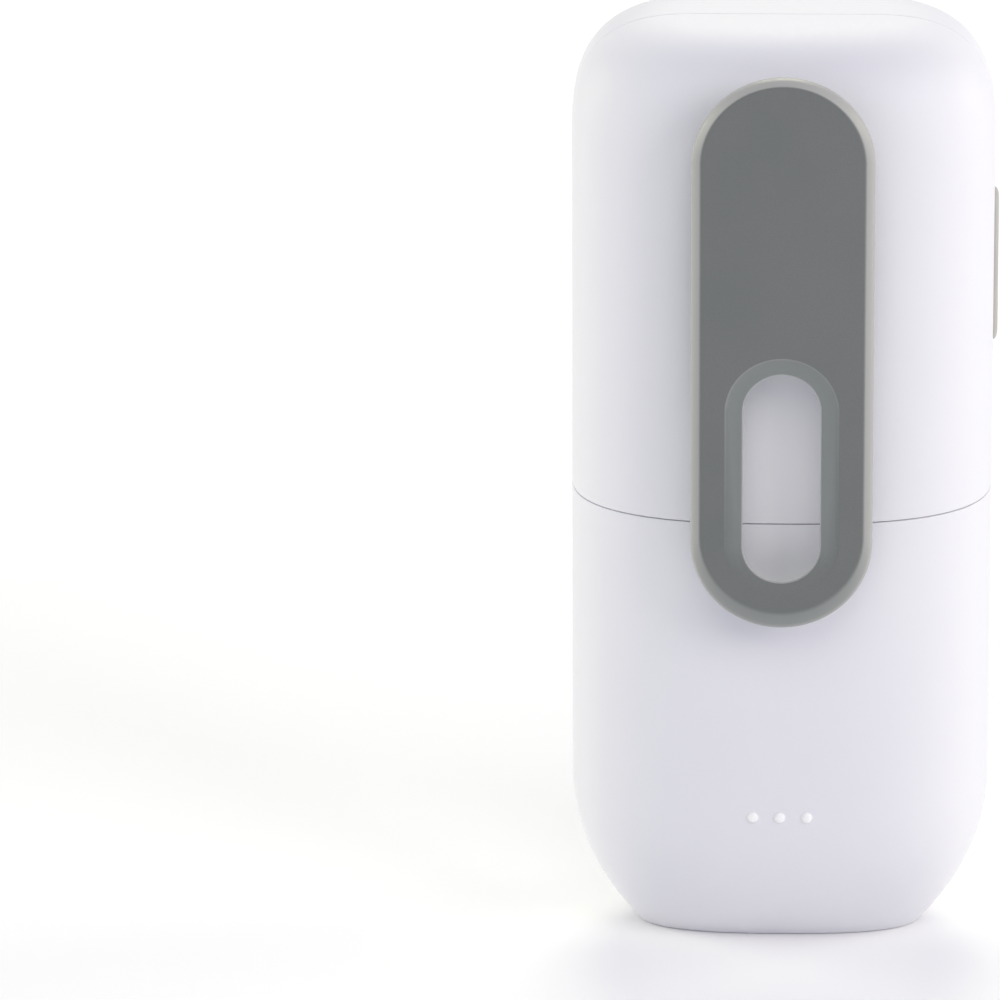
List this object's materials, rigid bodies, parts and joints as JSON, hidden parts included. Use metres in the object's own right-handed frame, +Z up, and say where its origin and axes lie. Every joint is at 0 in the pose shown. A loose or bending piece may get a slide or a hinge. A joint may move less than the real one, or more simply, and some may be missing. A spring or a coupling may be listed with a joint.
{
  "type": "baby monitor camera",
  "caption": "Upright soft-cornered baby monitor housing with a sprung belt clip on one face, a graded hole grille with a pinhole lens on the other, and a side rocker.",
  "frame": {"origin": "centre of the flat rubber base that the housing stands on", "axes": "+Z up, the belt clip faces -Y, the grille and pinhole lens face +Y, the volume rocker is on the +X side and the power switch and socket on the -X side"},
  "size_m": [0.0572, 0.0442, 0.1285],
  "materials": {
    "shell_white": "satin moulded",
    "foot_rubber": "matte",
    "clip_grey": "fine satin",
    "steel": "bright zinc",
    "nickel": "satin nickel",
    "black_plastic": "fine grain",
    "cell_wrap": "shrink wrap",
    "circuit_board": "solder mask",
    "copper": "bare strip",
    "foam": "closed-cell foam",
    "cone_paper": "pressed paper",
    "clear_window": "polished",
    "button_warm_grey": "satin",
    "red_lead": "sleeved wire"
  },
  "bodies": {
    "housing": {"front_shell": "shell_white", "rear_shell": "shell_white", "foot_front": "foot_rubber", "clip_pin": "steel", "clip_spring": "steel", "battery_tray": "black_plastic", "cell_1": "cell_wrap", "cell_2": "cell_wrap", "cell_3": "cell_wrap", "cell_contact_1": "nickel", "cell_contact_2": "nickel", "cell_contact_3": "nickel", "cell_spring_1": "nickel", "cell_spring_2": "nickel", "cell_spring_3": "nickel", "main_board": "circuit_board", "shield_can": "nickel", "antenna": "copper", "microphone": "nickel", "speaker_gasket": "foam", "speaker_frame": "steel", "speaker_cone": "cone_paper", "speaker_magnet": "steel", "lens_window": "clear_window", "lens_barrel": "black_plastic", "image_sensor": "circuit_board", "rocker_board": "circuit_board", "tact_switch_upper": "black_plastic", "tact_switch_lower": "black_plastic", "side_board": "circuit_board", "usb_socket": "nickel", "power_switch_body": "steel", "charge_contact_block": "black_plastic", "charge_contact_left": "nickel", "charge_contact_right": "nickel", "screw_well_left": "steel", "screw_well_right": "steel", "screw_tray_left": "steel", "screw_tray_right": "steel", "screw_board_upper": "steel", "screw_board_lower": "steel", "screw_top": "steel", "speaker_lead_1": "red_lead", "speaker_lead_2": "black_plastic", "battery_lead_1": "red_lead", "battery_lead_2": "black_plastic"},
    "clip": {"belt_clip": "clip_grey"},
    "cover": {"battery_cover": "shell_white", "foot_rear": "foot_rubber"},
    "rocker": {"volume_rocker": "button_warm_grey"},
    "power_knob": {"power_switch_knob": "button_warm_grey"}
  },
  "joints": [
    {"name": "clip_hinge", "type": "hinge", "parent": "housing", "child": "clip", "pos_m": [0, -0.021, 0.108], "axis": [-1, 0, 0], "range_deg": [0, 15], "stiffness_Nm_per_rad": 0.3, "springref_deg": -11.46},
    {"name": "cover_slide", "type": "slide", "parent": "housing", "child": "cover", "axis": [0, 0, -1], "range_m": [0, 0.016]},
    {"name": "volume_rock", "type": "hinge", "parent": "housing", "child": "rocker", "pos_m": [0.0252, 0.003, 0.0924], "axis": [0, 1, 0], "range_deg": [-3, 3], "stiffness_Nm_per_rad": 0.35},
    {"name": "power_slide", "type": "slide", "parent": "housing", "child": "power_knob", "axis": [0, 0, 1], "range_m": [0, 0.003]}
  ]
}
